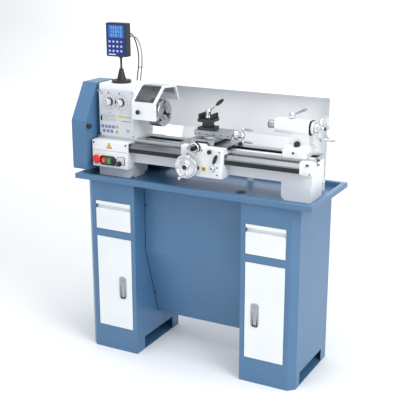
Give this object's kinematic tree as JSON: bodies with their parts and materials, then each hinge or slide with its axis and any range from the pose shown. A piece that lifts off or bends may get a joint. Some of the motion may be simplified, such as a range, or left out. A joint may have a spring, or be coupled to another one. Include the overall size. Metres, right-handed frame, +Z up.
{
  "type": "metal lathe",
  "caption": "Bench-height metal lathe on a two-cabinet stand, with drip tray, splash guard, carriage, tailstock, chuck guard and a digital readout.",
  "frame": {"origin": "middle of the four floor anchor holes, on the floor", "axes": "+X along the bed towards the tailstock, -Y towards the operator, +Z up"},
  "size_m": [1.244, 0.463, 1.55],
  "materials": {
    "blue_enamel": "semi-gloss textured enamel",
    "white_enamel": "semi-gloss enamel",
    "grey_enamel": "satin enamel",
    "ground_iron": "painted casting with ground ways",
    "steel": "turned steel",
    "chrome": "polished",
    "black_plastic": "moulded phenolic",
    "grey_plastic": "moulded",
    "red_plastic": "gloss",
    "green_plastic": "gloss",
    "smoked_window": "smoked polycarbonate",
    "black_rubber": "moulded belt",
    "black_cable": "PVC jacket",
    "grey_cable": "armoured spiral"
  },
  "bodies": {
    "machine": {"cabinet_left": "blue_enamel", "cabinet_right": "blue_enamel", "kick_panel": "blue_enamel", "drip_tray": "blue_enamel", "bed": "ground_iron", "headstock_casing": "white_enamel", "spindle_bearings": "steel", "dial_plate": "grey_enamel", "gear_case_plate": "blue_enamel", "motor_body": "blue_enamel", "drive_belt": "black_rubber", "leadscrew_cover": "grey_plastic", "leadscrew_bracket": "white_enamel", "control_box": "white_enamel", "splash_guard": "white_enamel", "readout_housing": "black_plastic", "readout_stand": "black_plastic", "readout_cable_black": "black_cable", "readout_cable_grey": "grey_cable"},
    "door_left": {"door_left": "white_enamel"},
    "paddle_left": {"paddle_left": "grey_plastic"},
    "drawer_left": {"drawer_left": "white_enamel"},
    "door_right": {"door_right": "white_enamel"},
    "paddle_right": {"paddle_right": "grey_plastic"},
    "drawer_right": {"drawer_right": "white_enamel"},
    "gear_cover": {"gear_cover": "blue_enamel"},
    "cover_knob": {"cover_knob": "black_plastic"},
    "chuck_guard": {"chuck_guard": "white_enamel", "guard_windows": "smoked_window"},
    "spindle": {"spindle": "steel", "spindle_drive": "steel", "chuck_body": "steel"},
    "motor_shaft": {"motor_pulley": "steel"},
    "idler": {"idler_gear": "steel"},
    "leadscrew": {"leadscrew": "steel"},
    "jaw_1": {"chuck_jaw_1": "steel"},
    "jaw_2": {"chuck_jaw_2": "steel"},
    "jaw_3": {"chuck_jaw_3": "steel"},
    "speed_dial_left": {"speed_dial_left": "black_plastic"},
    "speed_dial_right": {"speed_dial_right": "black_plastic"},
    "estop_button": {"estop_button": "red_plastic"},
    "stop_button": {"stop_button": "red_plastic"},
    "start_button": {"start_button": "green_plastic"},
    "selector_knob": {"selector_knob": "black_plastic"},
    "carriage": {"saddle": "white_enamel", "apron": "white_enamel"},
    "carriage_wheel": {"carriage_handwheel": "chrome"},
    "half_nut_lever": {"half_nut_lever": "black_plastic"},
    "carriage_lock": {"carriage_lock": "black_plastic"},
    "cross_wheel": {"cross_handwheel": "steel"},
    "cross_slide": {"cross_slide": "ground_iron"},
    "compound_crank": {"compound_crank": "steel"},
    "compound": {"compound_slide": "ground_iron"},
    "tool_post": {"tool_post": "steel"},
    "tool_post_lever": {"tool_post_lever": "chrome"},
    "tailstock": {"tailstock_base": "white_enamel", "tailstock_body": "white_enamel"},
    "tail_wheel": {"tailstock_handwheel": "chrome"},
    "quill": {"quill": "steel"},
    "quill_lock": {"quill_lock": "chrome"}
  },
  "joints": [
    {"name": "door_left_hinge", "type": "hinge", "parent": "machine", "child": "door_left", "pos_m": [-0.477, -0.196, 0.346], "axis": [0, 0, -1], "range_deg": [0, 110]},
    {"name": "paddle_left_hinge", "type": "hinge", "parent": "door_left", "child": "paddle_left", "pos_m": [-0.343, -0.199, 0.34], "axis": [-1, 0, 0], "range_deg": [0, 40]},
    {"name": "drawer_left_slide", "type": "slide", "parent": "machine", "child": "drawer_left", "axis": [0, -1, 0], "range_m": [0, 0.26]},
    {"name": "door_right_hinge", "type": "hinge", "parent": "machine", "child": "door_right", "pos_m": [0.477, -0.196, 0.346], "axis": [0, 0, 1], "range_deg": [0, 110]},
    {"name": "paddle_right_hinge", "type": "hinge", "parent": "door_right", "child": "paddle_right", "pos_m": [0.343, -0.199, 0.34], "axis": [-1, 0, 0], "range_deg": [0, 40]},
    {"name": "drawer_right_slide", "type": "slide", "parent": "machine", "child": "drawer_right", "axis": [0, -1, 0], "range_m": [0, 0.26]},
    {"name": "gear_cover_hinge", "type": "hinge", "parent": "machine", "child": "gear_cover", "pos_m": [-0.538, 0.157, 1.02], "axis": [0, 0, -1], "range_deg": [0, 110]},
    {"name": "cover_knob_turn", "type": "hinge", "parent": "machine", "child": "cover_knob", "pos_m": [-0.53, -0.166, 1.085], "axis": [1, 0, 0], "range_deg": [0, 360]},
    {"name": "guard_hinge", "type": "hinge", "parent": "machine", "child": "chuck_guard", "pos_m": [-0.312, 0.075, 1.235], "axis": [-1, 0, 0], "range_deg": [0, 80]},
    {"name": "spindle_spin", "type": "hinge", "parent": "machine", "child": "spindle", "pos_m": [-0.3, -0.03, 1.153], "axis": [1, 0, 0], "continuous": true},
    {"name": "motor_spin", "type": "hinge", "parent": "machine", "child": "motor_shaft", "pos_m": [-0.5, 0.115, 0.93], "axis": [1, 0, 0], "continuous": true},
    {"name": "idler_spin", "type": "hinge", "parent": "machine", "child": "idler", "pos_m": [-0.559, -0.05735, 1.06411], "axis": [1, 0, 0], "continuous": true},
    {"name": "leadscrew_spin", "type": "hinge", "parent": "machine", "child": "leadscrew", "pos_m": [0, -0.125, 0.996], "axis": [1, 0, 0], "continuous": true},
    {"name": "jaw_1_slide", "type": "slide", "parent": "spindle", "child": "jaw_1", "axis": [0, 0, 1], "range_m": [-0.012, 0.004]},
    {"name": "jaw_2_slide", "type": "slide", "parent": "spindle", "child": "jaw_2", "axis": [0, -0.866, -0.5], "range_m": [-0.012, 0.004]},
    {"name": "jaw_3_slide", "type": "slide", "parent": "spindle", "child": "jaw_3", "axis": [0, 0.866, -0.5], "range_m": [-0.012, 0.004]},
    {"name": "speed_dial_left_turn", "type": "hinge", "parent": "machine", "child": "speed_dial_left", "pos_m": [-0.451, -0.11, 1.197], "axis": [0, 1, 0], "range_deg": [-120, 120]},
    {"name": "speed_dial_right_turn", "type": "hinge", "parent": "machine", "child": "speed_dial_right", "pos_m": [-0.388, -0.11, 1.197], "axis": [0, 1, 0], "range_deg": [-120, 120]},
    {"name": "estop_push", "type": "slide", "parent": "machine", "child": "estop_button", "axis": [0, 1, 0], "range_m": [0, 0.005], "stiffness_N_per_m": 600, "springref_m": -0.002},
    {"name": "stop_push", "type": "slide", "parent": "machine", "child": "stop_button", "axis": [0, 1, 0], "range_m": [0, 0.003], "stiffness_N_per_m": 600, "springref_m": -0.002},
    {"name": "start_push", "type": "slide", "parent": "machine", "child": "start_button", "axis": [0, 1, 0], "range_m": [0, 0.003], "stiffness_N_per_m": 600, "springref_m": -0.002},
    {"name": "selector_turn", "type": "hinge", "parent": "machine", "child": "selector_knob", "pos_m": [-0.374, -0.16, 0.921], "axis": [0, 1, 0], "range_deg": [-45, 45]},
    {"name": "carriage_slide", "type": "slide", "parent": "machine", "child": "carriage", "axis": [1, 0, 0], "range_m": [-0.11, 0.06]},
    {"name": "carriage_wheel_turn", "type": "hinge", "parent": "carriage", "child": "carriage_wheel", "pos_m": [-0.002, -0.19, 0.96], "axis": [0, 1, 0], "range_deg": [-661, 361]},
    {"name": "half_nut_turn", "type": "hinge", "parent": "carriage", "child": "half_nut_lever", "pos_m": [0.118, -0.17, 0.962], "axis": [0, 1, 0], "range_deg": [0, 50]},
    {"name": "carriage_lock_turn", "type": "hinge", "parent": "carriage", "child": "carriage_lock", "pos_m": [0.103, -0.17, 1.032], "axis": [0, 1, 0], "range_deg": [0, 180]},
    {"name": "cross_wheel_turn", "type": "hinge", "parent": "carriage", "child": "cross_wheel", "pos_m": [0.033, -0.15, 1.044], "axis": [0, 1, 0], "range_deg": [-3168, 5760]},
    {"name": "cross_slide_travel", "type": "slide", "parent": "carriage", "child": "cross_slide", "axis": [0, 1, 0], "range_m": [-0.022, 0.04]},
    {"name": "compound_crank_turn", "type": "hinge", "parent": "compound", "child": "compound_crank", "pos_m": [0.18, -0.048, 1.092], "axis": [1, 0, 0], "range_deg": [-3600, 2880]},
    {"name": "compound_travel", "type": "slide", "parent": "cross_slide", "child": "compound", "axis": [1, 0, 0], "range_m": [-0.025, 0.02]},
    {"name": "tool_post_turn", "type": "hinge", "parent": "compound", "child": "tool_post", "pos_m": [0.033, -0.048, 1.12], "axis": [0, 0, 1], "continuous": true},
    {"name": "tool_post_lever_turn", "type": "hinge", "parent": "compound", "child": "tool_post_lever", "pos_m": [0.033, -0.048, 1.16], "axis": [0, 0, 1], "range_deg": [-90, 60]},
    {"name": "tailstock_slide", "type": "slide", "parent": "machine", "child": "tailstock", "axis": [1, 0, 0], "range_m": [-0.1, 0.012]},
    {"name": "tail_wheel_turn", "type": "hinge", "parent": "tailstock", "child": "tail_wheel", "pos_m": [0.56, -0.03, 1.153], "axis": [-1, 0, 0], "range_deg": [0, 7200]},
    {"name": "quill_travel", "type": "slide", "parent": "tailstock", "child": "quill", "axis": [-1, 0, 0], "range_m": [0, 0.05]},
    {"name": "quill_lock_turn", "type": "hinge", "parent": "tailstock", "child": "quill_lock", "pos_m": [0.425, -0.03, 1.18], "axis": [0, 0, 1], "range_deg": [-40, 60]}
  ],
  "couplings": [
    {"joint": "motor_spin", "follows": "spindle_spin", "ratio": 2.2917},
    {"joint": "idler_spin", "follows": "spindle_spin", "ratio": -0.47619},
    {"joint": "leadscrew_spin", "follows": "spindle_spin", "ratio": 0.90909},
    {"joint": "jaw_2_slide", "follows": "jaw_1_slide", "ratio": 1},
    {"joint": "jaw_3_slide", "follows": "jaw_1_slide", "ratio": 1},
    {"joint": "carriage_wheel_turn", "follows": "carriage_slide", "rad_per_m": 104.72},
    {"joint": "cross_wheel_turn", "follows": "cross_slide_travel", "rad_per_m": 2513.3},
    {"joint": "compound_crank_turn", "follows": "compound_travel", "rad_per_m": 2513.3},
    {"joint": "tail_wheel_turn", "follows": "quill_travel", "rad_per_m": 2513.3}
  ]
}
